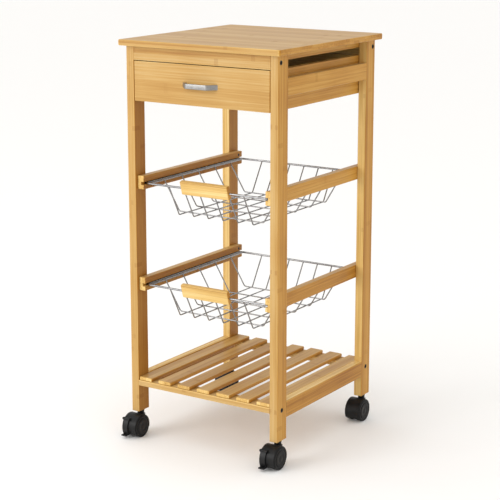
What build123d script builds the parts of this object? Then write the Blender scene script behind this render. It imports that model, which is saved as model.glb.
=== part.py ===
from build123d import *
import math
import os

# A rolling utility cart: bamboo frame, one drawer, two sliding wire baskets, a slatted shelf, four casters.
# Frame: origin on the floor under the middle of the cart's outline, +Z up, -Y the front, millimetres.
# The pieces are laid out about the middle of the table top. The front brake levers stand out past the table
# top, so every piece is then moved back a little, which puts the origin under the middle of the whole cart.

# ---- driving dimensions --------------------------------------------------------------------------------
TOP_X, TOP_Y, TOP_T = 350.0, 370.0, 11.0  # table top
OVERHANG_X, OVERHANG_Y = 10.0, 13.0  # table top past the legs
CASTER_HEIGHT = 49.0  # floor to the legs' lower ends
LEG_X, LEG_Y, LEG_LENGTH = 17.0, 32.0, 703.0
SIDE_RAIL_H = 32.0
UPPER_SIDE_RAIL_Z = 629.0  # heights of lower faces, counted from the legs' lower ends
LOWER_SIDE_RAIL_Z = 40.0
APRON_H, BACK_APRON_H, APRON_T = 26.0, 101.0, 17.0
CROSS_RAIL_Z, CROSS_RAIL_T = 53.0, 11.0
SLATS, SLAT_X, SLAT_Y, SLAT_T = 7, 29.0, 341.0, 7.0
CLEAT_X, CLEAT_H = 14.0, 13.5

BASKET_RAIL_X, BASKET_RAIL_Y, BASKET_RAIL_H = 14.0, 331.0, 26.0
BASKET_RAIL_TOPS = {"upper": 461.5, "lower": 266.5}
GROOVE_DROP, GROOVE_H, GROOVE_DEPTH = 14.5, 6.0, 6.0  # groove centre below the rail's top

DRAWER_FRONT_Z0, DRAWER_FRONT_Z1, DRAWER_FRONT_T = 602.0, 675.5, 12.0
DRAWER_SIDE_T, DRAWER_BACK_Y, DRAWER_GAP = 12.0, 150.0, 0.8
RUNNER_X, RUNNER_H, RUNNER_Y, RUNNER_Z = 5.5, 8.0, 300.0, 641.0
BOTTOM_PANEL_T, BOTTOM_PANEL_Z = 4.0, 608.0

RIM_R, SIDE_WIRE_R, MESH_R = 2.0, 1.75, 1.25  # wire radii
RIM_X, SIDE_WIRE_X = 137.3, 128.7
RIM_FRONT, RIM_BACK, RIM_CORNER = -157.0, 161.0, 9.0
BASKET_DEPTH, FLOOR_Y, FLOOR_X = 59.3, 125.0, 94.0
LONG_WIRES, LONG_PITCH = 6, 33.0
CROSS_WIRES, CROSS_PITCH, CROSS_MIDDLE = 5, 55.5, 3.0
GRIP_X, GRIP_W, GRIP_T = 105.0, 27.0, 9.5
GRIP_TILT, GRIP_LIFT, GRIP_OUT = 17.0, 1.5, 1.0  # degrees the lower edge tips back; middle above, before the rim

WHEEL_R, WHEEL_IN, WHEEL_OUT, TRAIL = 21.0, 5.7, 16.7, 16.0
HOOD_R, HOOD_WALL, HOOD_X = 23.2, 1.4, 15.5
LEVER_GAP, LEVER_T, LEVER_TAB, LEVER_X, LEVER_MID = 0.7, 2.0, 3.5, 11.8, -7.6
HOOD_FRONT_Z, HOOD_BACK_Z = 8.0, 15.0  # lower edges of the hood
STEM_R, AXLE_R, RUNNING = 3.5, 2.0, 0.05
SOCKET_R, SOCKET_L, FLANGE_R, FLANGE_T = 5.5, 31.0, 7.0, 2.5

BOLT_R, BOLT_L, BOLT_HEAD_R, BOLT_HEAD_L = 3.0, 55.0, 4.25, 5.0
NUT_R, DOWEL_R, DOWEL_L = 5.0, 4.0, 27.0
CLEAR = 0.3  # between bodies that move past each other

# ---- derived -------------------------------------------------------------------------------------------
LEG_OUT_X = TOP_X / 2 - OVERHANG_X
LEG_IN_X = LEG_OUT_X - LEG_X
LEG_OUT_Y = TOP_Y / 2 - OVERHANG_Y
LEG_IN_Y = LEG_OUT_Y - LEG_Y
LEG_MID_X, LEG_MID_Y = LEG_OUT_X - LEG_X / 2, LEG_OUT_Y - LEG_Y / 2
FORWARD_REACH = LEG_MID_Y + TRAIL + HOOD_R + LEVER_GAP + LEVER_T + LEVER_TAB  # middle to the levers' tabs
BACK_SHIFT = (FORWARD_REACH - TOP_Y / 2) / 2
SIDES = {"left": -1, "right": 1}
ENDS = {"front": -1, "back": 1}


def up(height):
    """Height above the floor of a height counted from the legs' lower ends."""
    return CASTER_HEIGHT + height


def block(x, y, z, edge=0.0):
    """A board between two limits on each axis, with its edges rounded."""
    size = [limit[1] - limit[0] for limit in (x, y, z)]
    middle = [(limit[1] + limit[0]) / 2 for limit in (x, y, z)]
    board = Pos(*middle) * Box(*size)
    return fillet(board.edges(), edge) if edge else board


def span(a, b):
    return (min(a, b), max(a, b))


def rod(start, end, radius):
    """A straight round bar from one point to another."""
    run = Vector(*end) - Vector(*start)
    plane = Plane(origin=start, z_dir=run)
    return plane.location * Cylinder(radius, run.length, align=(Align.CENTER, Align.CENTER, Align.MIN))


def facing(shape, point, outward):
    """Puts a shape that is modelled with its head at z = 0 at a point, with its head facing outward."""
    return Plane(origin=point, z_dir=outward).location * shape


def cut_for(boards, tools):
    """Cuts each tool from each board that it reaches."""
    for name, board in boards.items():
        reach = board.bounding_box()
        for tool in tools:
            box = tool.bounding_box()
            low, high = box.min, box.max
            below = high.X <= reach.min.X or high.Y <= reach.min.Y or high.Z <= reach.min.Z
            above = low.X >= reach.max.X or low.Y >= reach.max.Y or low.Z >= reach.max.Z
            if not (below or above):
                board = board - tool
        boards[name] = board


def save(name, *pieces):
    """Writes one node, which is one piece or a group of separate pieces, moved back into the cart's frame."""
    moved = [Pos(0, BACK_SHIFT, 0) * piece for piece in pieces]
    node = moved[0] if len(moved) == 1 else Compound(children=moved)
    node.label = name
    export_step(node, f"parts/{name}.step")


# ---- fasteners, modelled head up at the origin ------------------------------------------------------------
def wood_screw(length, shank_r=1.75, head_r=2.8, head_h=2.2):
    top = (Align.CENTER, Align.CENTER, Align.MAX)
    screw = Cylinder(shank_r, length, align=top) + Cone(shank_r, head_r, head_h, align=top)
    for angle in (0, 90):
        screw -= Rot(0, 0, angle) * Box(head_r * 1.1, 0.9, 2.4)
    return screw


def wood_screw_bore(length, shank_r=1.75, head_r=2.8, head_h=2.2):
    top = (Align.CENTER, Align.CENTER, Align.MAX)
    return Cylinder(shank_r, length, align=top) + Cone(shank_r, head_r, head_h, align=top)


def frame_bolt():
    top = (Align.CENTER, Align.CENTER, Align.MAX)
    bolt = Pos(0, 0, -0.4) * Cylinder(BOLT_HEAD_R, BOLT_HEAD_L - 0.4, align=top)
    bolt += Cylinder(BOLT_R, BOLT_L, align=top)
    bolt -= Pos(0, 0, -3.2) * extrude(RegularPolygon(2.3, 6), 4)
    return bolt


def frame_bolt_bore():
    top = (Align.CENTER, Align.CENTER, Align.MAX)
    return Cylinder(BOLT_HEAD_R + 0.3, BOLT_HEAD_L, align=top) + Cylinder(BOLT_R + 0.1, BOLT_L + 1, align=top)


# ---- the fixed frame -----------------------------------------------------------------------------------
def frame_boards():
    """Every wooden board of the frame, by name, before it is bored."""
    boards = {}
    top = block((-TOP_X / 2, TOP_X / 2), (-TOP_Y / 2, TOP_Y / 2), (up(LEG_LENGTH), up(LEG_LENGTH) + TOP_T))
    top = fillet(top.edges().filter_by(Axis.Z), 5)
    boards["table_top"] = fillet(top.edges().group_by(Axis.Z)[-1] + top.edges().group_by(Axis.Z)[0], 2)
    for side, s in SIDES.items():
        x = span(s * LEG_IN_X, s * LEG_OUT_X)
        for end, e in ENDS.items():
            y = span(e * LEG_IN_Y, e * LEG_OUT_Y)
            boards[f"leg_{end}_{side}"] = block(x, y, (up(0), up(LEG_LENGTH)), 1.5)
        for level, z in (("upper", UPPER_SIDE_RAIL_Z), ("lower", LOWER_SIDE_RAIL_Z)):
            y = (-LEG_IN_Y, LEG_IN_Y)
            rail = block(x, y, (up(z), up(z + SIDE_RAIL_H)))
            boards[f"{level}_side_rail_{side}"] = fillet(rail.edges().filter_by(Axis.Y), 2.5)
        for level, z in BASKET_RAIL_TOPS.items():
            boards[f"{level}_basket_rail_{side}"] = basket_rail(s, up(z))
    for end, e in ENDS.items():
        y = span(e * (LEG_OUT_Y - APRON_T), e * LEG_OUT_Y)
        apron_h = APRON_H if end == "front" else BACK_APRON_H
        apron = block((-LEG_IN_X, LEG_IN_X), y, (up(LEG_LENGTH - apron_h), up(LEG_LENGTH)))
        boards[f"{end}_apron"] = fillet(apron.edges().filter_by(Axis.X), 1.2)
        y = span(e * LEG_IN_Y, e * LEG_OUT_Y)
        rail = block((-LEG_IN_X, LEG_IN_X), y, (up(CROSS_RAIL_Z), up(CROSS_RAIL_Z + CROSS_RAIL_T)))
        boards[f"{end}_cross_rail"] = fillet(rail.edges().filter_by(Axis.X), 2)
    for i in range(SLATS):
        x = slat_x(i)
        z = up(CROSS_RAIL_Z + CROSS_RAIL_T)
        slat = block((x - SLAT_X / 2, x + SLAT_X / 2), (-SLAT_Y / 2, SLAT_Y / 2), (z, z + SLAT_T), 2)
        boards[f"shelf_slat_{i + 1}"] = slat
    return boards


def slat_x(i):
    pitch = (2 * LEG_IN_X - SLAT_X - 1) / (SLATS - 1)
    return (i - (SLATS - 1) / 2) * pitch


def basket_rail(s, top):
    """A rail on the inner faces of two legs, with a groove along its inner face for the basket's rim wire."""
    inner = LEG_IN_X - BASKET_RAIL_X
    y = (-BASKET_RAIL_Y / 2, BASKET_RAIL_Y / 2)
    rail = block(span(s * inner, s * LEG_IN_X), y, (top - BASKET_RAIL_H, top), 1.5)
    z = top - GROOVE_DROP
    groove = block(
        span(s * (inner - 1), s * (inner + GROOVE_DEPTH)),
        (-BASKET_RAIL_Y, BASKET_RAIL_Y),
        (z - GROOVE_H / 2, z + GROOVE_H / 2),
    )
    return rail - groove


def side_strips(x_size, y_size, z):
    """Two equal strips along the legs' inner faces, left and right."""
    strips = []
    for s in SIDES.values():
        x = span(s * (LEG_IN_X - x_size), s * LEG_IN_X)
        strips.append(block(x, (-y_size / 2, y_size / 2), z, 0.8))
    return strips


def place_screws():
    """The wood screws of the frame: their solids, and the bores that they need."""
    places = []
    cleat_z = up(LEG_LENGTH - CLEAT_H)
    for s in SIDES.values():
        for y in (-120, 0, 120):
            places.append((21, (s * (LEG_IN_X - CLEAT_X / 2), y, cleat_z), (0, 0, -1)))
            places.append((15, (s * (LEG_IN_X - RUNNER_X), y, up(RUNNER_Z + RUNNER_H / 2)), (-s, 0, 0)))
        for top in BASKET_RAIL_TOPS.values():
            face_x = LEG_IN_X - BASKET_RAIL_X
            above_groove = (s * face_x, LEG_MID_Y - 3, up(top - 6.5))
            in_groove = (s * (face_x + GROOVE_DEPTH), 3 - LEG_MID_Y, up(top - GROOVE_DROP))
            places.append((25, above_groove, (-s, 0, 0)))
            places.append((19, in_groove, (-s, 0, 0)))
    for i in range(SLATS):
        for e in ENDS.values():
            places.append((15, (slat_x(i), e * (LEG_MID_Y - 9), up(CROSS_RAIL_Z)), (0, 0, -1)))
    screws = [facing(wood_screw(length), point, outward) for length, point, outward in places]
    bores = [facing(wood_screw_bore(length), point, outward) for length, point, outward in places]
    return screws, bores


def place_bolts():
    """Bolts through the legs into the aprons and cross rails, each with a barrel nut across it."""
    bolts, bores, nuts, nut_bores = [], [], [], []
    apron = (LEG_OUT_Y - APRON_T / 2, LEG_LENGTH - APRON_H / 2, LEG_LENGTH - APRON_H, 18.0)
    cross = (LEG_MID_Y, CROSS_RAIL_Z + CROSS_RAIL_T / 2, CROSS_RAIL_Z, 9.5)
    for s in SIDES.values():
        for e in ENDS.values():
            for y, z, face_z, depth in (apron, cross):
                bolt_at = ((s * LEG_OUT_X, e * y, up(z)), (s, 0, 0))
                x = s * (LEG_OUT_X - BOLT_L + 8)
                mouth, into = (x, e * y, up(face_z)), Vector(0, 0, 1)
                if z > UPPER_SIDE_RAIL_Z and e > 0:
                    mouth, into, depth = (x, LEG_OUT_Y - APRON_T, up(z)), Vector(0, 1, 0), 13.0
                end = Vector(*mouth) + into * depth
                nut = rod(Vector(*mouth) + into * 0.4, end, NUT_R)
                bolts.append(facing(frame_bolt(), *bolt_at))
                bores.append(facing(frame_bolt_bore(), *bolt_at))
                nut_bores.append(rod(Vector(*mouth) - into, end, NUT_R))
                nuts.append(nut - rod((s * LEG_IN_X, e * y, up(z)), (s * 80, e * y, up(z)), BOLT_R))
    return bolts, nuts, bores + nut_bores


def place_dowels():
    """Two dowels in each end of each side rail."""
    dowels = []
    for s in SIDES.values():
        for e in ENDS.values():
            for z in (UPPER_SIDE_RAIL_Z, LOWER_SIDE_RAIL_Z):
                for offset in (-SIDE_RAIL_H / 4, SIDE_RAIL_H / 4):
                    height = up(z + SIDE_RAIL_H / 2 + offset)
                    start = (s * LEG_MID_X, e * (LEG_IN_Y - 15), height)
                    end = (s * LEG_MID_X, e * (LEG_IN_Y - 15 + DOWEL_L), height)
                    dowels.append(rod(start, end, DOWEL_R))
    return dowels


def stem_places():
    """Where the caster stems stand, by name, on the floor."""
    places = {}
    for side, s in SIDES.items():
        for end, e in ENDS.items():
            places[f"{end}_{side}"] = (s * LEG_MID_X, e * LEG_MID_Y)
    return places


def place_sockets():
    """Sleeves with a flange, pressed into the legs' lower ends."""
    sockets, bores = [], []
    for x, y in stem_places().values():
        bore = rod((x, y, up(0) - 1), (x, y, up(SOCKET_L)), SOCKET_R)
        sleeve = rod((x, y, up(0)), (x, y, up(SOCKET_L)), SOCKET_R)
        sleeve += rod((x, y, up(-FLANGE_T)), (x, y, up(0)), FLANGE_R)
        sockets.append(sleeve - rod((x, y, 0), (x, y, up(SOCKET_L - 1)), STEM_R + RUNNING))
        bores.append(bore)
    return sockets, bores


def make_frame():
    boards = frame_boards()
    screws, screw_bores = place_screws()
    bolts, nuts, bolt_bores = place_bolts()
    dowels = place_dowels()
    sockets, socket_bores = place_sockets()
    cleats = side_strips(CLEAT_X, 2 * (LEG_OUT_Y - APRON_T) - 0.4, (up(LEG_LENGTH - CLEAT_H), up(LEG_LENGTH)))
    runners = side_strips(RUNNER_X, RUNNER_Y, (up(RUNNER_Z), up(RUNNER_Z + RUNNER_H)))
    strips = {"cleat_0": cleats[0], "cleat_1": cleats[1], "runner_0": runners[0], "runner_1": runners[1]}
    cut_for(boards, screw_bores + bolt_bores + dowels + socket_bores)
    cut_for(strips, screw_bores)
    for name, board in boards.items():
        save(name, board)
    save("top_cleats", strips["cleat_0"], strips["cleat_1"])
    save("drawer_runners", strips["runner_0"], strips["runner_1"])
    save("frame_bolts", *bolts)
    save("barrel_nuts", *nuts)
    save("dowels", *dowels)
    save("wood_screws", *screws)
    save("caster_sockets", *sockets)


# ---- the drawer ----------------------------------------------------------------------------------------
def drawer_boards():
    out_x = LEG_IN_X - DRAWER_GAP
    in_x = out_x - DRAWER_SIDE_T
    face_y = -LEG_OUT_Y
    back_of_front = face_y + DRAWER_FRONT_T
    low, high = up(DRAWER_FRONT_Z0), up(DRAWER_FRONT_Z1)
    panel_z = (up(BOTTOM_PANEL_Z), up(BOTTOM_PANEL_Z) + BOTTOM_PANEL_T)
    panel = block((-in_x - 4, in_x + 4), (back_of_front - 4, DRAWER_BACK_Y), panel_z)
    runner_z = (up(RUNNER_Z) - CLEAR, up(RUNNER_Z + RUNNER_H) + CLEAR)
    boards = {
        "drawer_front": block((-out_x + 0.2, out_x - 0.2), (face_y, back_of_front), (low, high), 1.2) - panel,
        "drawer_back": block((-in_x, in_x), (DRAWER_BACK_Y - 12, DRAWER_BACK_Y), (panel_z[1], high - 1)),
        "drawer_bottom": panel,
    }
    for side, s in SIDES.items():
        board = block(span(s * in_x, s * out_x), (back_of_front, DRAWER_BACK_Y), (low + 0.5, high - 1))
        board -= panel
        slot = block(span(s * (out_x - 6), s * (out_x + 1)), (-RUNNER_Y / 2 - 2, DRAWER_BACK_Y + 1), runner_z)
        boards[f"drawer_side_{side}"] = board - slot
    return boards


def bow_handle(middle_z):
    """A flat strip with a straight middle and slanted ends, and a boss inside each foot."""
    y0 = -LEG_OUT_Y

    def solid(points, bend):
        outline = make_face(Polyline(*[(x, y0 - out) for x, out in points], close=True))
        bends = [corner for corner in outline.vertices() if corner.Y < y0 - 5]
        return Pos(0, 0, middle_z - 4.75) * extrude(fillet(bends, bend), 9.5)

    outer = solid([(-38, 0), (-23, 15.2), (23, 15.2), (38, 0)], 7)
    strip = outer - solid([(-34, -1), (-34, 0), (-22, 12.2), (22, 12.2), (34, 0), (34, -1)], 4)
    for x in (-32, 32):
        strip += rod((x, y0, middle_z), (x, y0 - 5, middle_z), 4.2) & outer
    return strip


def make_drawer():
    boards = drawer_boards()
    middle_z = up(DRAWER_FRONT_Z0 + DRAWER_FRONT_Z1) / 2 + CASTER_HEIGHT / 2
    inner_y = -LEG_OUT_Y + DRAWER_FRONT_T
    screws, bores = [], []
    for x in (-32, 32):
        machine = rod((x, inner_y, middle_z), (x, -LEG_OUT_Y - 4, middle_z), 2)
        head = rod((x, inner_y, middle_z), (x, inner_y + 2.6, middle_z), 4)
        screws.append(machine + head - Pos(x, inner_y + 2.6, middle_z) * Box(1, 2.4, 6))
        bores.append(machine)
    for s in SIDES.values():
        for z in (20, 58):
            height = up(DRAWER_FRONT_Z0 + z)
            back = ((s * (LEG_IN_X - DRAWER_GAP), DRAWER_BACK_Y - 6, height), (s, 0, 0))
            screws.append(facing(wood_screw(28), *back))
            bores.append(facing(wood_screw_bore(28), *back))
            start = (s * (LEG_IN_X - DRAWER_GAP - DRAWER_SIDE_T / 2), inner_y - 8, height)
            end = (start[0], inner_y + 14, height)
            pin = rod(start, end, 2.5)
            screws.append(pin)
            bores.append(pin)
    handle = bow_handle(middle_z) - bores[0] - bores[1]
    cut_for(boards, bores)
    for name, board in boards.items():
        save(name, board)
    save("drawer_handle", handle)
    save("drawer_fasteners", *screws)


# ---- the baskets ---------------------------------------------------------------------------------------
def wire(points, radius, bend):
    """A round wire along straight runs with rounded bends."""
    path = FilletPolyline(*points, radius=bend)
    section = Plane(origin=path @ 0, z_dir=path % 0) * Circle(radius)
    return sweep(section, path)


def rim_loop(z):
    """The closed rim wire: four straight runs joined by quarter bends."""
    x, r = RIM_X, RIM_CORNER
    runs = [
        ((x - r, RIM_FRONT), (-x + r, RIM_FRONT)),
        ((-x, RIM_FRONT + r), (-x, RIM_BACK - r)),
        ((-x + r, RIM_BACK), (x - r, RIM_BACK)),
        ((x, RIM_BACK - r), (x, RIM_FRONT + r)),
    ]
    middles = [(-x + r, RIM_FRONT + r), (-x + r, RIM_BACK - r), (x - r, RIM_BACK - r), (x - r, RIM_FRONT + r)]
    loop = None
    for run, middle in zip(runs, middles):
        straight = rod((*run[0], z), (*run[1], z), RIM_R)
        corner_axis = Axis((*middle, z), (0, 0, -1))
        section = Plane(origin=(*run[1], z), z_dir=Vector(*run[1]) - Vector(*run[0])) * Circle(RIM_R)
        bend = revolve(section, corner_axis, 90)
        loop = straight + bend if loop is None else loop + straight + bend
    return loop


def basket_wires(z):
    """The welded basket: rim, side wires, long wires front to back, cross wires side to side."""
    floor = z - BASKET_DEPTH
    frame = rim_loop(z)
    for s in SIDES.values():
        frame += rod((s * SIDE_WIRE_X, RIM_FRONT, z), (s * SIDE_WIRE_X, RIM_BACK, z), SIDE_WIRE_R)
    for i in range(LONG_WIRES):
        x = (i - (LONG_WIRES - 1) / 2) * LONG_PITCH
        points = [(x, RIM_FRONT, z), (x, -FLOOR_Y, floor), (x, FLOOR_Y, floor), (x, RIM_BACK, z)]
        frame += wire(points, MESH_R, 5)
    cross_floor = floor + 2 * MESH_R - 0.15
    for i in range(CROSS_WIRES):
        y = CROSS_MIDDLE + (i - (CROSS_WIRES - 1) / 2) * CROSS_PITCH
        points = [(-SIDE_WIRE_X, y, z), (-FLOOR_X, y, cross_floor)]
        points += [(FLOOR_X, y, cross_floor), (SIDE_WIRE_X, y, z)]
        frame += wire(points, MESH_R, 6)
    return frame


def basket_grip(z):
    """A wooden bar on the front rim wire, grooved at the back for that wire and the wires that hang from it."""
    bar = fillet(Box(GRIP_X, GRIP_T, GRIP_W).edges(), 2.5)
    bar = Pos(0, RIM_FRONT - GRIP_OUT, z + GRIP_LIFT) * Rot(GRIP_TILT, 0, 0) * bar
    bar -= rod((-GRIP_X, RIM_FRONT, z), (GRIP_X, RIM_FRONT, z), RIM_R)
    bar -= block((-GRIP_X, GRIP_X), (RIM_FRONT, RIM_FRONT + 15), (z - RIM_R, z + RIM_R))
    slope = math.degrees(math.atan2(-FLOOR_Y - RIM_FRONT, BASKET_DEPTH))
    for i in range(LONG_WIRES):
        x = (i - (LONG_WIRES - 1) / 2) * LONG_PITCH
        if abs(x) < GRIP_X / 2 + MESH_R:
            bar -= rod((x, RIM_FRONT, z), (x, -FLOOR_Y, z - BASKET_DEPTH), MESH_R)
            bar -= Pos(x, RIM_FRONT, z) * Rot(slope, 0, 0) * Pos(0, 7.5, -20) * Box(2 * MESH_R, 15, 40)
    return bar


def make_baskets():
    for level, top in BASKET_RAIL_TOPS.items():
        z = up(top - GROOVE_DROP - GROOVE_H / 2) + CLEAR + RIM_R
        save(f"{level}_basket_wires", basket_wires(z))
        save(f"{level}_basket_grip", basket_grip(z))


# ---- the casters ---------------------------------------------------------------------------------------
def across(radius, x, y=-TRAIL, z=WHEEL_R):
    """A cylinder along X about the wheel axis, or about another line given by y and z."""
    return rod((x[0], y, z), (x[1], y, z), radius)


def caster_pins():
    """The upright stem and the axle."""
    return [rod((0, 0, 24), (0, 0, up(SOCKET_L - 2)), STEM_R), across(AXLE_R, (-16.2, 16.2))]


def lever_pivot():
    angle = math.radians(40)
    reach = HOOD_R + 2.8
    return (-TRAIL - reach * math.cos(angle), WHEEL_R + reach * math.sin(angle))


def caster_hood(braked):
    """Fenders over both wheels, a web between them, and the boss that holds the stem."""
    hood = across(HOOD_R, (-HOOD_X, HOOD_X))
    hood = fillet(hood.edges(), 1.0)
    hood += rod((0, 0, 20), (0, 0, 40), 8.5)
    hood += rod((0, 0, 38), (0, 0, up(-FLANGE_T) - CLEAR), 6.5)
    if braked:
        y, z = lever_pivot()
        for s in SIDES.values():
            x = span(LEVER_MID + s * (LEVER_X / 2 + 0.5), LEVER_MID + s * (LEVER_X / 2 + 2.1))
            hood += across(2.4, x, y, z) + block(x, (y, y + 5), (z - 4, z + 1.5))
    for s in SIDES.values():
        hood -= across(HOOD_R - HOOD_WALL, span(s * (WHEEL_IN - 0.5), s * 30))
    hood -= block((-30, 30), (-60, -TRAIL), (-30, HOOD_FRONT_Z))
    hood -= block((-30, 30), (-TRAIL, 60), (-30, HOOD_BACK_Z))
    hood += across(11, (-WHEEL_IN + 0.5, WHEEL_IN - 0.5))
    if braked:
        hood -= across(1.2 + RUNNING, (-20, 20), *lever_pivot())
    for pin in caster_pins():
        hood -= pin
    return hood


def caster_wheel(s):
    """A wheel with a rounded tread, a shallow ring groove and a raised, closed cap."""
    hub_r, end, cap = AXLE_R + RUNNING, 16.4, WHEEL_OUT + 0.7
    outline = Polyline((end, 0), (end, hub_r), (WHEEL_IN, hub_r), (WHEEL_IN, 5.5), (7.2, 5.5), (7.2, 17))
    outline += Polyline((7.2, 17), (WHEEL_IN, 17), (WHEEL_IN, 19.2))
    outline += ThreePointArc((WHEEL_IN, 19.2), (6.23, 20.47), (7.5, WHEEL_R))
    outline += Line((7.5, WHEEL_R), (14.9, WHEEL_R))
    outline += ThreePointArc((14.9, WHEEL_R), (16.17, 20.47), (WHEEL_OUT, 19.2))
    outline += Polyline((WHEEL_OUT, 19.2), (WHEEL_OUT, 17.4), (15.9, 17.0), (15.9, 16.2), (WHEEL_OUT, 15.8))
    outline += Polyline((WHEEL_OUT, 15.8), (cap, 14.6), (cap, 0), (end, 0))
    wheel = revolve(make_face(outline), Axis.X, 360)
    return Pos(0, -TRAIL, WHEEL_R) * Rot(0, 0, 0 if s > 0 else 180) * wheel


def brake_lever():
    """A curved tongue in front of the left wheel, hinged at its top, with a foot tab at its lower end."""
    y, z = lever_pivot()
    inner, outer = HOOD_R + LEVER_GAP, HOOD_R + LEVER_GAP + LEVER_T
    x = (LEVER_MID - LEVER_X / 2, LEVER_MID + LEVER_X / 2)
    ring = across(outer, x) - across(inner, (-20, 20))
    window = block((-20, 20), (-60, y + 0.5), (5.5, z))
    lever = ring & window
    tab = block(x, (-TRAIL - outer - LEVER_TAB, -TRAIL - inner + 6.4), (5.5, 7.7))
    lever += tab - across(inner, (-20, 20))
    lever += across(2.1, x, y, z) + across(1.2, (x[0] - 2, x[1] + 2), y, z)
    return lever


def make_casters():
    for place, (x, y) in stem_places().items():
        braked = place.startswith("front")
        at = Pos(x, y, 0)
        save(f"caster_{place}_hood", at * caster_hood(braked))
        save(f"caster_{place}_pins", *[at * pin for pin in caster_pins()])
        for side, s in SIDES.items():
            save(f"caster_{place}_wheel_{side}", at * caster_wheel(s))
        if braked:
            save(f"caster_{place}_brake_lever", at * brake_lever())


os.makedirs("parts", exist_ok=True)
make_frame()
make_drawer()
make_baskets()
make_casters()
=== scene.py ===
import math

import bmesh
import bpy
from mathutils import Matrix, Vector


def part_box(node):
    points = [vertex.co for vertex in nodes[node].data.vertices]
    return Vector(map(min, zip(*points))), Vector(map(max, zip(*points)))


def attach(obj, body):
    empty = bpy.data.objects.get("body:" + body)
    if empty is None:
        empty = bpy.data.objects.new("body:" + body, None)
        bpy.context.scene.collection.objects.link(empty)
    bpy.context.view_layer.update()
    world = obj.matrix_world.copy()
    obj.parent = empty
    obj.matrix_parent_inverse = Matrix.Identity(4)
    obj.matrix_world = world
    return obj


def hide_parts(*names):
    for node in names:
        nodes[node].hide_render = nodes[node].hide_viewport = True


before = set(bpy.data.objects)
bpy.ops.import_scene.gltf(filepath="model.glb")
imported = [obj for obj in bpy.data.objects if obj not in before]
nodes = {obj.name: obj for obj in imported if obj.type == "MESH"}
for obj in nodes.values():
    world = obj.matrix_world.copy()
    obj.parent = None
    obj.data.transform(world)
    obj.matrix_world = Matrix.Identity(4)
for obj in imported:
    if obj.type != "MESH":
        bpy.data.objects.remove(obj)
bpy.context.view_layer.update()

# ---- Table top -----------------------------------------------------------------------------------------
# One flat board, glued up from bamboo strips that run from side to side, sanded smooth and given a clear
# satin lacquer. Its corners and edges are rounded over. Screws through two cleats hold it from below.

MM = 0.001


class Finish:
    """One socket in a finish's node tree. Arithmetic on it adds the Math nodes that work it out."""

    def __init__(self, tree, socket=None):
        self.tree = tree
        self.socket = socket

    def node(self, kind, settings, sockets, out=0):
        """Adds one node, sets its settings and then its sockets, and returns one of its outputs."""
        made = self.tree.nodes.new(kind)
        for name, value in settings.items():
            if name == "stops":
                ramp = made.color_ramp.elements
                for place, _ in value[2:]:
                    ramp.new(place)
                for stop, (place, colour) in zip(ramp, value):
                    stop.position = place
                    stop.color = (*colour, 1)
            else:
                setattr(made, name, value)
        for name, value in sockets.items():
            if isinstance(value, Finish):
                self.tree.links.new(made.inputs[name], value.socket)
            else:
                made.inputs[name].default_value = value
        return Finish(self.tree, made.outputs[out])

    def math(self, operation, *values):
        return self.node("ShaderNodeMath", {"operation": operation}, dict(enumerate(values)))

    def __add__(self, other):
        return self.math("ADD", self, other)

    __radd__ = __add__

    def __mul__(self, other):
        return self.math("MULTIPLY", self, other)

    __rmul__ = __mul__

    def __sub__(self, other):
        return self.math("SUBTRACT", self, other)

    def __rsub__(self, other):
        return self.math("SUBTRACT", other, self)

    def __truediv__(self, other):
        return self.math("DIVIDE", self, other)

    def floor(self):
        return self.math("FLOOR", self)

    def fract(self):
        return self.math("FRACT", self)

    def away(self, middle):
        """How far this is from a middle value."""
        return self.math("ABSOLUTE", self - middle)

    def eased(self, low, high, at_low=0.0, at_high=1.0):
        """A soft step from one value to another as this goes from low to high."""
        limits = {0: self, 1: low, 2: high, 3: at_low, 4: at_high}
        return self.node("ShaderNodeMapRange", {"interpolation_type": "SMOOTHSTEP"}, limits)

    def between(self, first, second):
        """The colour this share of the way from the first colour to the second."""
        ends = {0: self, 6: first, 7: second}
        return self.node("ShaderNodeMix", {"data_type": "RGBA"}, ends, out=2)


def new_finish(name):
    """An empty material, its tree, its shader node, and the piece's own coordinates."""
    material = bpy.data.materials.new(name)
    material.use_nodes = True
    tree = material.node_tree
    shader = tree.nodes["Principled BSDF"]
    start = Finish(tree)
    place = start.node("ShaderNodeTexCoord", {}, {}, out=3)
    return material, tree, shader, start, place


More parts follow.
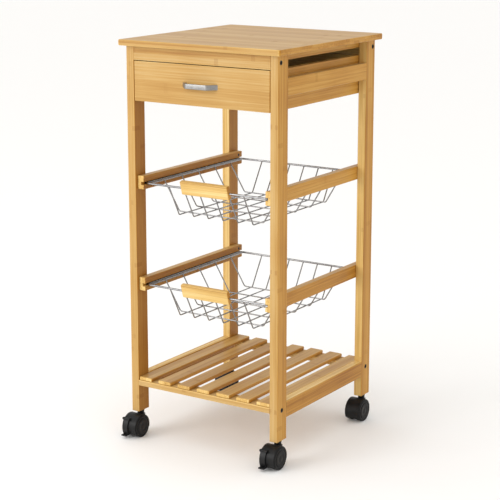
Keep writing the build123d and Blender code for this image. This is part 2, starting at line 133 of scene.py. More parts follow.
def bamboo(name, along, wide, thin, strip, layer, start_wide=0.0, start_thin=0.0, tone=0.0):
    """Bamboo strips glued side by side: along, wide and thin name the axes of the strips' three sizes.

    strip and layer are the width and thickness of one strip, and start_wide and start_thin are where the
    first one begins. tone makes the whole board lighter or darker. Faces that look along the piece's X axis,
    to the cart's left and right, are multiplied darker and more orange: painted shade on those sides.
    """
    material, tree, shader, start, place = new_finish(name)
    split = tree.nodes.new("ShaderNodeSeparateXYZ")
    tree.links.new(split.inputs[0], place.socket)
    length, across, depth = [Finish(tree, split.outputs["xyz".index(axis)]) for axis in (along, wide, thin)]
    strip_at = (across - start_wide) / strip
    layer_at = (depth - start_thin) / layer
    seed = 3.7 + tone
    cell = start.node("ShaderNodeCombineXYZ", {}, {0: strip_at.floor(), 1: layer_at.floor(), 2: seed})
    chance = start.node("ShaderNodeTexWhiteNoise", {"noise_dimensions": "3D"}, {"Vector": cell})
    chance_colour = start.node("ShaderNodeTexWhiteNoise", {"noise_dimensions": "3D"}, {"Vector": cell}, out=1)
    chances = tree.nodes.new("ShaderNodeSeparateColor")
    tree.links.new(chances.inputs[0], chance_colour.socket)
    chance_b, chance_c = Finish(tree, chances.outputs[1]), Finish(tree, chances.outputs[2])

    def streaks(along_scale, across_scale, detail, shift):
        """Noise drawn out along the strips."""
        stretched = start.node(
            "ShaderNodeCombineXYZ",
            {},
            {0: length * along_scale + chance * shift, 1: across * across_scale, 2: depth * across_scale},
        )
        settings = {"Vector": stretched, "Scale": 1.0, "Detail": detail, "Roughness": 0.6}
        return start.node("ShaderNodeTexNoise", {"noise_dimensions": "3D"}, settings)

    fibre = streaks(along_scale=14.0, across_scale=1500.0, detail=3.0, shift=50.0)
    streak = streaks(along_scale=5.0, across_scale=330.0, detail=2.0, shift=80.0)
    cloud = start.node("ShaderNodeTexNoise", {}, {"Vector": place, "Scale": 7.0, "Detail": 2.0})

    # each strip has a joint of the cane every 260 mm: a faint ragged band with a darker line beside it
    joint_apart = 260 * MM
    joint_at = ((length + chance_b * 0.9) / joint_apart).fract().away(0.5) * joint_apart
    ragged = streaks(along_scale=60.0, across_scale=420.0, detail=2.0, shift=20.0)
    reach = joint_at + (ragged - 0.5) * 4 * MM
    band = reach.eased(0.6 * MM, 4.6 * MM, 1.0, 0.0) * chance_c.eased(0.3, 1.0, 0.05, 0.9)
    band_line = reach.away(3.2 * MM).eased(0.0, 1.2 * MM, 1.0, 0.0) * chance_c.eased(0.2, 0.9, 0.1, 0.7)
    seam_wide = strip_at.fract().away(0.5).eased(0.5 - 0.45 * MM / strip, 0.5, 0.0, 1.0)
    seam_thin = layer_at.fract().away(0.5).eased(0.5 - 0.3 * MM / layer, 0.5, 0.0, 1.0)
    seam = seam_wide.math("MAXIMUM", seam_wide, seam_thin) * 0.5

    grain = (streak - 0.5) * 1.15 + (fibre - 0.5) * 0.9 + (cloud - 0.5) * 0.7
    shade = (chance - 0.5) * 0.42 + grain + 0.5
    wood = start.node(
        "ShaderNodeValToRGB",
        {
            "stops": [
                (0.0, (0.40, 0.205, 0.050)),
                (0.3, (0.56, 0.340, 0.095)),
                (0.6, (0.685, 0.455, 0.155)),
                (1.0, (0.79, 0.600, 0.275)),
            ]
        },
        {0: shade + tone},
    )
    marks = band * 0.2 + band_line * 0.26 + seam
    colour = marks.math("MINIMUM", marks, 0.85).between(wood, (0.30, 0.135, 0.034, 1))
    facing = start.node("ShaderNodeTexCoord", {}, {}, out=1)  # the face's own direction, on the piece's axes
    # painted shade: faces that look to the left or right are multiplied darker and more orange than the rest
    painted_side_shade_share = start.node("ShaderNodeSeparateXYZ", {}, {0: facing}).away(0.0).eased(0.35, 0.8)
    painted_side_shade = start.node(
        "ShaderNodeMix",
        {"data_type": "RGBA", "blend_type": "MULTIPLY"},
        {0: 1.0, 6: colour, 7: (0.77, 0.57, 0.29, 1)},
        out=2,
    )
    colour = painted_side_shade_share.between(colour, painted_side_shade)
    tree.links.new(shader.inputs["Base Color"], colour.socket)
    rough = 0.40 + (fibre - 0.5) * 0.22 + band * 0.1 + (cloud - 0.5) * 0.1
    tree.links.new(shader.inputs["Roughness"], rough.socket)
    height = fibre * 0.55 + streak * 0.2 - seam * 0.5 + band_line * 0.35 + band * 0.2
    bump = start.node("ShaderNodeBump", {}, {"Strength": 0.22, "Distance": 0.3 * MM, "Height": height})
    tree.links.new(shader.inputs["Normal"], bump.socket)
    shader.inputs["Coat Weight"].default_value = 0.03
    shader.inputs["Coat Roughness"].default_value = 0.3
    shader.inputs["Specular IOR Level"].default_value = 0.2
    return material


def finish_nodes(material, *names):
    """Gives CAD boards and fittings, whose shapes stay as they are, their finish."""
    for name in names:
        slots = nodes[name].material_slots
        if not slots:
            nodes[name].data.materials.append(material)
        for slot in slots:
            slot.material = material


top_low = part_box("table_top")[0]
top_finish = bamboo(
    "top_bamboo",
    along="x",
    wide="y",
    thin="z",
    strip=18.5 * MM,
    layer=5.5 * MM,
    start_wide=top_low.y,
    start_thin=top_low.z,
)
finish_nodes(top_finish, "table_top")

# ---- Legs ----------------------------------------------------------------------------------------------
# Four flat posts of three bamboo layers, their long edges eased. Each stands on a caster and carries bolt
# holes at its top and near its lower end.

leg_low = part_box("leg_front_left")[0]
leg_finish = bamboo(
    "leg_bamboo",
    along="z",
    wide="y",
    thin="x",
    strip=16 * MM,
    layer=5.67 * MM,
    start_wide=leg_low.y,
    start_thin=leg_low.x,
    tone=0.03,
)
sides, ends = ("left", "right"), ("front", "back")
finish_nodes(leg_finish, *[f"leg_{end}_{side}" for end in ends for side in sides])

# ---- Side rails, cleats and drawer runners -------------------------------------------------------------
# Bamboo rails doweled between the legs, two a side, with a cleat under the table top on each side. The
# drawer slides on narrow strips screwed to the rails and legs.

rail_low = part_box("upper_side_rail_left")[0]
standing_finish = bamboo(
    "rail_bamboo",
    along="y",
    wide="z",
    thin="x",
    strip=16 * MM,
    layer=5.67 * MM,
    start_wide=rail_low.z,
    start_thin=rail_low.x,
)
levels = ("upper", "lower")
finish_nodes(standing_finish, *[f"{level}_side_rail_{side}" for level in levels for side in sides])
finish_nodes(standing_finish, "top_cleats", "drawer_runners")

# ---- Aprons and cross rails ----------------------------------------------------------------------------
# The boards that join the left legs to the right ones: an apron under the table top, front and back, and
# a rail laid flat under each end of the shelf. Bolts through the legs pull into barrel nuts in them.

apron_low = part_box("front_apron")[0]
apron_finish = bamboo(
    "apron_bamboo",
    along="x",
    wide="z",
    thin="y",
    strip=13 * MM,
    layer=5.67 * MM,
    start_wide=apron_low.z,
    start_thin=apron_low.y,
    tone=0.02,
)
finish_nodes(apron_finish, "front_apron", "back_apron")
cross_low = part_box("front_cross_rail")[0]
cross_finish = bamboo(
    "cross_rail_bamboo",
    along="x",
    wide="y",
    thin="z",
    strip=16 * MM,
    layer=5.5 * MM,
    start_wide=cross_low.y,
    start_thin=cross_low.z,
    tone=0.05,
)
finish_nodes(cross_finish, "front_cross_rail", "back_cross_rail")

# ---- Shelf slats ---------------------------------------------------------------------------------------
# Seven thin bamboo slats from front to back, with rounded edges and even gaps. Each lies across the two
# cross rails and is screwed down from below.

slat_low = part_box("shelf_slat_1")[0]
slat_finish = bamboo(
    "slat_bamboo",
    along="y",
    wide="x",
    thin="z",
    strip=14.5 * MM,
    layer=7 * MM,
    start_wide=slat_low.x,
    start_thin=slat_low.z,
    tone=-0.03,
)
finish_nodes(slat_finish, *[f"shelf_slat_{i}" for i in range(1, 8)])

# ---- Basket rails --------------------------------------------------------------------------------------
# Four bamboo rails, a pair for each basket, each with a groove along its inner face. They are screwed to
# the insides of the legs, and the basket's rim wire slides in the grooves.

groove_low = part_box("upper_basket_rail_left")[0]
groove_finish = bamboo(
    "basket_rail_bamboo",
    along="y",
    wide="z",
    thin="x",
    strip=13 * MM,
    layer=7 * MM,
    start_wide=groove_low.z,
    start_thin=groove_low.x,
    tone=-0.02,
)
finish_nodes(groove_finish, *[f"{level}_basket_rail_{side}" for level in levels for side in sides])

# ---- Dowels, bolts, nuts and screws --------------------------------------------------------------------
# Raw wooden dowels in the rail joints; black hexagon-socket bolts that pull into zinc-plated barrel nuts;
# black countersunk wood screws. The drawer's own screws and pins are zinc plated.


def metal(name, dark, light, rough, metallic, grain):
    """A metal that varies between two colours and two roughnesses. grain is how many marks to the metre."""
    material, tree, shader, start, place = new_finish(name)
    fine = start.node("ShaderNodeTexNoise", {}, {"Vector": place, "Scale": grain, "Detail": 3.0})
    broad = start.node("ShaderNodeTexNoise", {}, {"Vector": place, "Scale": grain / 12, "Detail": 2.0})
    share = (fine * 0.5 + broad * 0.5).eased(0.3, 0.7)
    tree.links.new(shader.inputs["Base Color"], share.between((*dark, 1), (*light, 1)).socket)
    tree.links.new(shader.inputs["Roughness"], broad.eased(0.3, 0.7, *rough).socket)
    bump = start.node("ShaderNodeBump", {}, {"Strength": 0.12, "Distance": 0.1 * MM, "Height": fine})
    tree.links.new(shader.inputs["Normal"], bump.socket)
    shader.inputs["Metallic"].default_value = metallic
    return material


dowel_finish = bamboo(
    "dowel_wood",
    along="y",
    wide="x",
    thin="z",
    strip=50 * MM,
    layer=50 * MM,
    tone=0.12,
)
bolt_finish = metal(
    "black_bolt_steel",
    dark=(0.012, 0.012, 0.012),
    light=(0.035, 0.034, 0.033),
    rough=(0.35, 0.55),
    metallic=0.6,
    grain=900.0,
)
zinc_finish = metal(
    "zinc_plated_steel",
    dark=(0.46, 0.46, 0.45),
    light=(0.66, 0.66, 0.64),
    rough=(0.28, 0.45),
    metallic=1.0,
    grain=700.0,
)
finish_nodes(dowel_finish, "dowels")
finish_nodes(bolt_finish, "frame_bolts", "wood_screws")
finish_nodes(zinc_finish, "barrel_nuts", "drawer_fasteners")

# ---- Drawer --------------------------------------------------------------------------------------------
# A solid front glued up from four bamboo strips, two sides, a back and a thin bottom panel that is let
# into grooves. Pins hold the sides to the front, and screws hold them to the back.

front_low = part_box("drawer_front")[0]
front_finish = bamboo(
    "drawer_front_bamboo",
    along="x",
    wide="z",
    thin="y",
    strip=18.4 * MM,
    layer=6 * MM,
    start_wide=front_low.z,
    start_thin=front_low.y,
)
finish_nodes(front_finish, "drawer_front", "drawer_back")
side_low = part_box("drawer_side_left")[0]
side_finish = bamboo(
    "drawer_side_bamboo",
    along="y",
    wide="z",
    thin="x",
    strip=18.4 * MM,
    layer=6 * MM,
    start_wide=side_low.z,
    start_thin=side_low.x,
    tone=-0.02,
)
finish_nodes(side_finish, "drawer_side_left", "drawer_side_right")
panel_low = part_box("drawer_bottom")[0]
panel_finish = bamboo(
    "drawer_panel_bamboo",
    along="x",
    wide="y",
    thin="z",
    strip=18.5 * MM,
    layer=4 * MM,
    start_wide=panel_low.y,
    start_thin=panel_low.z,
    tone=0.02,
)
finish_nodes(panel_finish, "drawer_bottom")

# ---- Drawer handle -------------------------------------------------------------------------------------
# A flat strip of satin nickel, straight along its middle and slanted at both ends. A boss inside each foot
# takes a screw from inside the drawer.


def new_piece(name, mesh, body, slot, *replaced):
    """Puts a finished mesh in the scene, riding on a body in place of CAD nodes."""
    piece = bpy.data.objects.new(name, mesh)
    bpy.context.scene.collection.objects.link(piece)
    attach(piece, body)
    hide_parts(*replaced)
    return piece


def finished_mesh(bm, name, material, sharp=40.0):
    """Turns worked geometry into a mesh with smooth faces and sharp edges."""
    bmesh.ops.remove_doubles(bm, verts=bm.verts, dist=1e-7)
    bmesh.ops.recalc_face_normals(bm, faces=bm.faces)
    mesh = bpy.data.meshes.new(name)
    bm.to_mesh(mesh)
    bm.free()
    for face in mesh.polygons:
        face.use_smooth = True
    mesh.set_sharp_from_angle(angle=math.radians(sharp))
    mesh.materials.append(material)
    return mesh


def closed_tube(bm, rings):
    """Joins rings of points with faces and closes both ends."""
    rows = [[bm.verts.new(point) for point in ring] for ring in rings]
    for row, following in zip(rows, rows[1:]):
        for i in range(len(row)):
            j = (i + 1) % len(row)
            bm.faces.new((row[i], row[j], following[j], following[i]))
    bm.faces.new(rows[0])
    bm.faces.new(reversed(rows[-1]))


def rounded_path(points, bend, steps):
    """A line through the points in which an arc of radius bend replaces each inner corner."""
    path = [points[0]]
    for before, corner, after in zip(points, points[1:], points[2:]):
        back, ahead = (before - corner).normalized(), (after - corner).normalized()
        half = back.angle(ahead) / 2
        centre = corner + (back + ahead).normalized() * bend / math.sin(half)
        first, last = corner + back * bend / math.tan(half), corner + ahead * bend / math.tan(half)
        for i in range(steps + 1):
            path.append(centre + (first - centre).slerp(last - centre, i / steps).normalized() * bend)
    return path + [points[-1]]


def bow_mesh(material):
    """The strip, rounded along its edges, with its two bosses. Stations and profile are in millimetres."""
    low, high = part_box("drawer_handle")
    foot_y, middle_z = high.y, (high.z + low.z) / 2
    half_height, edge = (high.z - low.z) / 2, 1.0 * MM
    screw_x = 32 * MM

    def line(stations, bend):
        """One face of the strip seen from above, from places across the drawer and out from its front."""
        points = [Vector((x * MM, foot_y - out * MM, 0)) for x, out in stations]
        return rounded_path(points, bend * MM, steps=10)

    outer = line([(-38, 0), (-23, 15.2), (23, 15.2), (38, 0)], 7)
    inner = line([(-34, 0), (-22, 12.2), (22, 12.2), (34, 0)], 4)
    edge_steps = 4
    turns = [i * math.pi / (2 * edge_steps) for i in range(edge_steps + 1)]
    rounding = [(1 - math.cos(turn), half_height - edge * (1 - math.sin(turn))) for turn in turns]
    rings = []
    for out, within in zip(outer, inner):
        through = (within - out) * min(edge / (within - out).length, 0.35)
        ring = []
        for side in (1, -1):
            arc = [(out + through * inset, height) for inset, height in rounding]
            arc += [(within - through * inset, height) for inset, height in reversed(rounding)]
            if side < 0:
                arc.reverse()
            ring += [(place.x, place.y, middle_z + side * height) for place, height in arc]
        rings.append(ring)
    bm = bmesh.new()
    closed_tube(bm, rings)
    # a boss leans towards the handle's middle as it narrows: distance out, radius, lean
    boss_profile = [(0, 4.0, 0.0), (1.5, 4.0, 0.6), (3.2, 3.4, 1.4), (4.4, 2.6, 2.4), (5.0, 1.8, 3.0)]
    boss_sides = 24
    for side in (-1, 1):
        rings = []
        for out, radius, lean in boss_profile:
            boss_x = side * (screw_x - lean * MM)
            ring = []
            for i in range(boss_sides):
                turn = i * math.tau / boss_sides
                across, up = radius * MM * math.cos(turn), radius * MM * math.sin(turn)
                ring.append((boss_x + across, foot_y - out * MM, middle_z + up))
            rings.append(ring)
        closed_tube(bm, rings)
    return finished_mesh(bm, "drawer_bow_handle", material)


nickel_finish = metal(
    "satin_nickel",
    dark=(0.24, 0.235, 0.23),
    light=(0.34, 0.335, 0.325),
    rough=(0.32, 0.42),
    metallic=1.0,
    grain=1200.0,
)
new_piece("drawer_bow_handle", bow_mesh(nickel_finish), "drawer", "satin_nickel", "drawer_handle")

# ---- Baskets -------------------------------------------------------------------------------------------
# Chromed steel wire, bent and spot welded: a rim loop that rides in the rails' grooves, a side wire inside
# it on each side, six wires from front to back and five from side to side. A bamboo bar is the grip.


def new_tree(name, wanted, result):
    """An empty tree with named inputs, the sockets that carry them, and the identifier of each input."""
    tree = bpy.data.node_groups.new(name, "GeometryNodeTree")
    identifiers = {}
    for label, kind in wanted.items():
        socket = tree.interface.new_socket(label, in_out="INPUT", socket_type=kind)
        identifiers[label] = socket.identifier
    tree.interface.new_socket(result, in_out="OUTPUT", socket_type="NodeSocketGeometry")
    return tree, tree.nodes.new("NodeGroupInput").outputs, identifiers


def step(tree, kind, settings, **inputs):
    """Adds one node to a tree, sets or links its inputs by name, and returns its first output."""
    made = tree.nodes.new(kind)
    for name, value in settings.items():
        setattr(made, name, value)
    for name, value in inputs.items():
        socket = made.inputs[name.replace("_", " ")]
        if hasattr(value, "is_output"):
            tree.links.new(socket, value)
        else:
            socket.default_value = value
    return made.outputs[0]


def wire_rows():
    """The tree that turns a bent line into a row of equal round wires."""
    wanted = {
        "Line": "NodeSocketGeometry",
        "Wire radius": "NodeSocketFloat",
        "Bend radius": "NodeSocketFloat",
        "Count": "NodeSocketInt",
        "Step": "NodeSocketVector",
        "Finish": "NodeSocketMaterial",
    }
    tree, given, identifiers = new_tree("wire_rows", wanted, "Wires")
    line = step(tree, "GeometryNodeMeshToCurve", {}, Mesh=given["Line"])
    bent = step(
        tree,
        "GeometryNodeFilletCurve",
        {"mode": "POLY"},
        Curve=line,
        Count=6,
        Radius=given["Bend radius"],
        Limit_Radius=True,
    )
    circle = step(tree, "GeometryNodeCurvePrimitiveCircle", {}, Resolution=12, Radius=given["Wire radius"])
    round_wire = step(tree, "GeometryNodeCurveToMesh", {}, Curve=bent, Profile_Curve=circle, Fill_Caps=True)
    places = step(tree, "GeometryNodeMeshLine", {}, Count=given["Count"], Offset=given["Step"])
    row = step(tree, "GeometryNodeInstanceOnPoints", {}, Points=places, Instance=round_wire)
    whole = step(tree, "GeometryNodeRealizeInstances", {}, Geometry=row)
    coated = step(tree, "GeometryNodeSetMaterial", {}, Geometry=whole, Material=given["Finish"])
    tree.links.new(tree.nodes.new("NodeGroupOutput").inputs["Wires"], coated)
    return tree, identifiers


def weld_beads():
    """The tree that puts a small flattened bead of metal on each given point."""
    wanted = {
        "Points": "NodeSocketGeometry",
        "Bead radius": "NodeSocketFloat",
        "Finish": "NodeSocketMaterial",
    }
    tree, given, identifiers = new_tree("weld_beads", wanted, "Beads")
    bead = step(tree, "GeometryNodeMeshIcoSphere", {}, Subdivisions=2, Radius=given["Bead radius"])
    spread = step(
        tree,
        "FunctionNodeRandomValue",
        {"data_type": "FLOAT_VECTOR"},
        Min=(0.85, 0.85, 0.8),
        Max=(1.15, 1.15, 0.95),
        Seed=4,
    )
    row = step(tree, "GeometryNodeInstanceOnPoints", {}, Points=given["Points"], Instance=bead, Scale=spread)
    whole = step(tree, "GeometryNodeRealizeInstances", {}, Geometry=row)
    coated = step(tree, "GeometryNodeSetMaterial", {}, Geometry=whole, Material=given["Finish"])
    tree.links.new(tree.nodes.new("NodeGroupOutput").inputs["Beads"], coated)
    return tree, identifiers


def grown(tree_and_identifiers, points, edges, **values):
    """Runs a tree on a line or a set of points and returns the plain mesh that it makes."""
    tree, identifiers = tree_and_identifiers
    mesh = bpy.data.meshes.new("guide")
    mesh.from_pydata(points, edges, [])
    guide = bpy.data.objects.new("guide", mesh)
    bpy.context.scene.collection.objects.link(guide)
    modifier = guide.modifiers.new("tree", "NODES")
    modifier.node_group = tree
    for name, value in values.items():
        modifier[identifiers[name.replace("_", " ")]] = value
    ready = guide.evaluated_get(bpy.context.evaluated_depsgraph_get())
    made = bpy.data.meshes.new_from_object(ready)
    guide.modifiers.clear()
    bpy.data.objects.remove(guide)
    return made


def one_mesh(name, meshes, sharp=50.0):
    """Several meshes as one. Each keeps its own finish, which is the last in its list of materials."""
    bm = bmesh.new()
    finishes = []
    for mesh in meshes:
        first = len(bm.faces)
        bm.from_mesh(mesh)
        bm.faces.ensure_lookup_table()
        finish = mesh.materials[-1]
        if finish not in finishes:
            finishes.append(finish)
        for face in bm.faces[first:]:
            face.material_index = finishes.index(finish)
            face.smooth = True
    bmesh.ops.recalc_face_normals(bm, faces=bm.faces)
    joined = bpy.data.meshes.new(name)
    bm.to_mesh(joined)
    bm.free()
    for material in finishes:
        joined.materials.append(material)
    joined.set_sharp_from_angle(angle=math.radians(sharp))
    return joined


# radii of the rim, of the side wires and of the wires that make the mesh, and how far in a side wire lies
rim_r, side_r, mesh_r = 2.0 * MM, 1.75 * MM, 1.25 * MM
side_wire_in = 8.6 * MM
# how far in from the rim or a side wire the sloping ends of the mesh wires meet the flat bottom
front_run, back_run, side_run = 32.0 * MM, 36.0 * MM, 34.7 * MM
long_wires, long_pitch = 6, 33.0 * MM
cross_wires, cross_pitch = 5, 55.5 * MM
# the cross wires lie a little behind the middle, sunk into the long ones by their welds, and the beads on
# the rim lie a little under the middles of its wires
cross_back, weld_sink, rim_weld_drop = 1.0 * MM, 0.15 * MM, 0.6 * MM
chrome_finish = metal(
    "chromed_wire",
    dark=(0.19, 0.19, 0.195),
    light=(0.36, 0.36, 0.365),
    rough=(0.16, 0.30),
    metallic=1.0,
    grain=420.0,
)
weld_finish = metal(
    "chromed_weld",
    dark=(0.14, 0.14, 0.14),
    light=(0.28, 0.28, 0.28),
    rough=(0.30, 0.50),
    metallic=1.0,
    grain=900.0,
)
row_tree, bead_tree = wire_rows(), weld_beads()

for level in levels:
    low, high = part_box(f"{level}_basket_wires")
    z = high.z - rim_r
    front, back, rim_x = low.y + rim_r, high.y - rim_r, high.x - rim_r
    side_x = rim_x - side_wire_in
    floor_z = low.z + mesh_r
    cross_z = floor_z + 2 * mesh_r - weld_sink
    long_x = -(long_wires - 1) / 2 * long_pitch
    cross_y = (front + back) / 2 + cross_back - (cross_wires - 1) / 2 * cross_pitch
    corners = [(-rim_x, front, z), (rim_x, front, z), (rim_x, back, z), (-rim_x, back, z)]
    rim = grown(
        row_tree,
        corners,
        [(0, 1), (1, 2), (2, 3), (3, 0)],
        Wire_radius=rim_r,
        Bend_radius=9 * MM,
        Count=1,
        Step=(0, 0, 0),
        Finish=chrome_finish,
    )
    side_pair = grown(
        row_tree,
        [(-side_x, front, z), (-side_x, back, z)],
        [(0, 1)],
        Wire_radius=side_r,
        Bend_radius=0.0,
        Count=2,
        Step=(2 * side_x, 0, 0),
        Finish=chrome_finish,
    )
    long_line = [
        (long_x, front, z),
        (long_x, front + front_run, floor_z),
        (long_x, back - back_run, floor_z),
        (long_x, back, z),
    ]
    long_row = grown(
        row_tree,
        long_line,
        [(0, 1), (1, 2), (2, 3)],
        Wire_radius=mesh_r,
        Bend_radius=5 * MM,
        Count=long_wires,
        Step=(long_pitch, 0, 0),
        Finish=chrome_finish,
    )
    cross_line = [
        (-side_x, cross_y, z),
        (-side_x + side_run, cross_y, cross_z),
        (side_x - side_run, cross_y, cross_z),
        (side_x, cross_y, z),
    ]
    cross_row = grown(
        row_tree,
        cross_line,
        [(0, 1), (1, 2), (2, 3)],
        Wire_radius=mesh_r,
        Bend_radius=6 * MM,
        Count=cross_wires,
        Step=(0, cross_pitch, 0),
        Finish=chrome_finish,
    )
    rim_weld_z, floor_weld_z = z - rim_weld_drop, (floor_z + cross_z) / 2
    rows_y = [cross_y + j * cross_pitch for j in range(cross_wires)]
    welds = []
    for i in range(long_wires):
        x = long_x + i * long_pitch
        welds += [(x, front, rim_weld_z), (x, back, rim_weld_z)]
        welds += [(x, row_y, floor_weld_z) for row_y in rows_y]
    for row_y in rows_y:
        welds += [(-side_x, row_y, rim_weld_z), (side_x, row_y, rim_weld_z)]
    beads = grown(bead_tree, welds, [], Bead_radius=1.55 * MM, Finish=weld_finish)
    wires = one_mesh(f"{level}_wire_basket", [rim, side_pair, long_row, cross_row, beads])
    new_piece(f"{level}_wire_basket", wires, f"{level}_basket", "chrome_wire", f"{level}_basket_wires")

grip_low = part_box("upper_basket_grip")[0]
grip_finish = bamboo(
    "grip_bamboo",
    along="x",
    wide="z",
    thin="y",
    strip=14 * MM,
    layer=12 * MM,
    start_wide=grip_low.z,
    start_thin=grip_low.y,
    tone=0.03,
)
finish_nodes(grip_finish, "upper_basket_grip", "lower_basket_grip")

# ---- Casters -------------------------------------------------------------------------------------------
# Twin-wheel casters moulded in black nylon: a hood over both wheels, a steel stem that turns in a sleeve in
# the leg, and two wheels on one axle. The front two have a brake lever in front of the left wheel.


def plastic(name, dark, light, rough, grain, dust=0.0):
    """Moulded plastic with a fine spark-eroded grain. dust is how much of it shows as specks."""
    material, tree, shader, start, place = new_finish(name)
    fine = start.node("ShaderNodeTexNoise", {}, {"Vector": place, "Scale": grain, "Detail": 2.0})
    broad = start.node("ShaderNodeTexNoise", {}, {"Vector": place, "Scale": 90.0, "Detail": 4.0})
    colour = broad.eased(0.3, 0.75).between((*dark, 1), (*light, 1))
    if dust:
        speck = start.node("ShaderNodeTexNoise", {}, {"Vector": place, "Scale": 420.0, "Detail": 5.0})
        colour = (speck.eased(0.52, 0.75) * dust).between(colour, (0.20, 0.18, 0.155, 1))
    tree.links.new(shader.inputs["Base Color"], colour.socket)
    tree.links.new(shader.inputs["Roughness"], broad.eased(0.3, 0.7, *rough).socket)
    bump = start.node("ShaderNodeBump", {}, {"Strength": 0.25, "Distance": 0.12 * MM, "Height": fine})
    tree.links.new(shader.inputs["Normal"], bump.socket)
    shader.inputs["Specular IOR Level"].default_value = 0.2
    return material


def spun(bm, profile, centre, outward, steps=72):
    """A closed round shape about an axis along X, from pairs of distance along the axis and radius."""
    rows = []
    for along, radius in profile:
        x = centre.x + outward * along * MM
        if radius == 0:
            rows.append([bm.verts.new((x, centre.y, centre.z))])
            continue
        row = []
        for i in range(steps):
            turn = i * math.tau / steps
            ahead, up = radius * MM * math.cos(turn), radius * MM * math.sin(turn)
            row.append(bm.verts.new((x, centre.y + ahead, centre.z + up)))
        rows.append(row)
    for row, following in zip(rows, rows[1:] + rows[:1]):
        if len(row) == 1 and len(following) == 1:
            continue
        for i in range(steps):
            j = (i + 1) % steps
            if len(row) == 1:
                bm.faces.new((row[0], following[j], following[i]))
            elif len(following) == 1:
                bm.faces.new((row[i], row[j], following[0]))
            else:
                bm.faces.new((row[i], row[j], following[j], following[i]))


hood_finish = plastic(
    "hood_plastic",
    dark=(0.006, 0.006, 0.006),
    light=(0.012, 0.012, 0.0125),
    rough=(0.36, 0.50),
    grain=2600.0,
)
lever_finish = plastic(
    "lever_plastic",
    dark=(0.008, 0.008, 0.0085),
    light=(0.015, 0.015, 0.0155),
    rough=(0.34, 0.46),
    grain=2600.0,
)
wheel_finish = plastic(
    "wheel_plastic",
    dark=(0.006, 0.006, 0.006),
    light=(0.013, 0.0125, 0.012),
    rough=(0.42, 0.56),
    grain=1800.0,
    dust=0.06,
)
sleeve_finish = plastic(
    "sleeve_plastic",
    dark=(0.005, 0.005, 0.005),
    light=(0.009, 0.009, 0.009),
    rough=(0.40, 0.55),
    grain=2000.0,
)
finish_nodes(sleeve_finish, "caster_sockets")

# the wheel's outline in millimetres, as distance out along the axle and radius: the bore and inner web, a
# tread with two shallow grooves and rounded shoulders, and a disc with a ring groove, a recess and a cap
tread_r, groove_r = 21.0, 20.7
tread_in, tread_out = 7.5, 14.9
shoulder_r, shoulder_start, shoulder_steps = 1.8, 19.2, 6
turns = [i / shoulder_steps * math.pi / 2 for i in range(1, shoulder_steps)]
wheel_outline = [(5.7, 2.05), (5.7, 5.5), (7.2, 5.5), (7.2, 17.0), (5.7, 17.0), (5.7, shoulder_start)]
for turn in turns:
    along, up = -shoulder_r * math.cos(turn), shoulder_r * math.sin(turn)
    wheel_outline.append((tread_in + along, shoulder_start + up))
wheel_outline += [(tread_in, tread_r), (9.1, tread_r), (9.35, groove_r), (9.65, groove_r), (9.9, tread_r)]
wheel_outline += [(12.5, tread_r), (12.75, groove_r), (13.05, groove_r), (13.3, tread_r)]
wheel_outline += [(tread_out, tread_r)]
for turn in turns:
    along, up = shoulder_r * math.sin(turn), shoulder_r * math.cos(turn)
    wheel_outline.append((tread_out + along, shoulder_start + up))
wheel_outline += [(16.7, shoulder_start), (16.7, 17.6), (16.5, 17.3), (15.9, 17.0), (15.9, 16.2)]
wheel_outline += [(16.5, 15.9), (16.8, 15.7), (17.3, 14.9), (17.4, 14.4), (17.4, 9.0), (17.3, 8.8)]
wheel_outline += [(17.3, 4.2), (17.4, 4.0), (17.4, 0), (16.4, 0), (16.4, 2.05)]

for place in ("front_left", "front_right", "back_left", "back_right"):
    finish_nodes(hood_finish, f"caster_{place}_hood")
    finish_nodes(zinc_finish, f"caster_{place}_pins")
    if place.startswith("front"):
        finish_nodes(lever_finish, f"caster_{place}_brake_lever")
    pin_low, pin_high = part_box(f"caster_{place}_pins")
    for side, outward in (("left", -1), ("right", 1)):
        node = f"caster_{place}_wheel_{side}"
        low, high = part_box(node)
        centre = Vector(((pin_low.x + pin_high.x) / 2, (low.y + high.y) / 2, (low.z + high.z) / 2))
        bm = bmesh.new()
        spun(bm, wheel_outline, centre, outward)
        mesh = finished_mesh(bm, f"{node}_roller", wheel_finish, sharp=35.0)
        new_piece(f"{node}_roller", mesh, node, "tread_plastic", node)

# ---- Floor, light and camera ---------------------------------------------------------------------------
# A plain pale floor, one large soft light from the front left, and a pale surround that is a little brighter
# on that side. The camera looks down a little on the cart's front and right side.

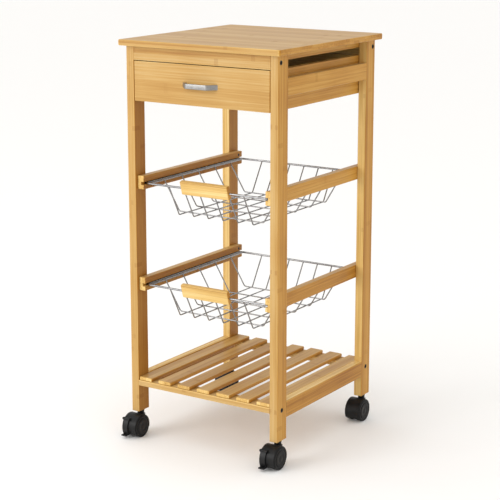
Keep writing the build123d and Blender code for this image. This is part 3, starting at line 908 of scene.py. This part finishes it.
floor_half = 30.0
floor_corners = [(x * floor_half, y * floor_half, 0) for x, y in ((-1, -1), (1, -1), (1, 1), (-1, 1))]
floor_mesh = bpy.data.meshes.new("studio_floor")
floor_mesh.from_pydata(floor_corners, [], [(0, 1, 2, 3)])
studio_floor = bpy.data.objects.new("studio_floor", floor_mesh)
bpy.context.scene.collection.objects.link(studio_floor)
floor_finish, floor_tree, floor_shader, floor_start, _ = new_finish("pale_floor")
floor_shader.inputs["Base Color"].default_value = (0.93, 0.93, 0.93, 1)
floor_shader.inputs["Roughness"].default_value = 0.75
underside = floor_start.node("ShaderNodeNewGeometry", {}, {}, out=6)
opaque = Finish(floor_tree, floor_shader.outputs[0])
clear = floor_start.node("ShaderNodeBsdfTransparent", {}, {})
seen = floor_start.node("ShaderNodeMixShader", {}, {0: underside, 1: opaque, 2: clear})
floor_tree.links.new(floor_tree.nodes["Material Output"].inputs[0], seen.socket)
floor_mesh.materials.append(floor_finish)

world = bpy.data.worlds.new("pale_surround")
world.use_nodes = True
world_tree = world.node_tree
background = world_tree.nodes["Background"]
background.inputs[0].default_value = (1.0, 0.985, 0.96, 1)
bright_side = (-0.56, -0.83, 0.0)
dim_strength, bright_strength = 0.88, 1.25
world_start = Finish(world_tree)
direction = world_start.node("ShaderNodeTexCoord", {}, {}, out=0)
towards = world_start.node(
    "ShaderNodeVectorMath",
    {"operation": "DOT_PRODUCT"},
    {0: direction, 1: bright_side},
    out=1,
)
strength = towards.eased(-0.9, 0.9, dim_strength, bright_strength)
world_tree.links.new(background.inputs[1], strength.socket)
bpy.context.scene.world = world

light_data = bpy.data.lights.new("front_left_light", "AREA")
light_data.shape = "SQUARE"
light_data.size = 1.8
light_data.energy = 48.0
light = bpy.data.objects.new("front_left_light", light_data)
light.location = (-1.5, -3.0, 1.5)
cart_middle = Vector((0, 0, 0.4))
light.rotation_euler = (cart_middle - light.location).to_track_quat("-Z", "Y").to_euler()
bpy.context.scene.collection.objects.link(light)

camera_data = bpy.data.cameras.new("camera")
camera_data.lens = 110.2
camera_data.sensor_width = 36.0
camera_data.shift_y = -0.05
camera = bpy.data.objects.new("camera", camera_data)
camera.location = (1.561, -2.386, 1.036)
azimuth, tilt = math.radians(33.21), math.radians(12.49)
look = Vector((-math.sin(azimuth) * math.cos(tilt), math.cos(azimuth) * math.cos(tilt), -math.sin(tilt)))
camera.rotation_euler = look.to_track_quat("-Z", "Y").to_euler()
bpy.context.scene.collection.objects.link(camera)
bpy.context.scene.camera = camera
bpy.context.scene.view_settings.view_transform = "Standard"
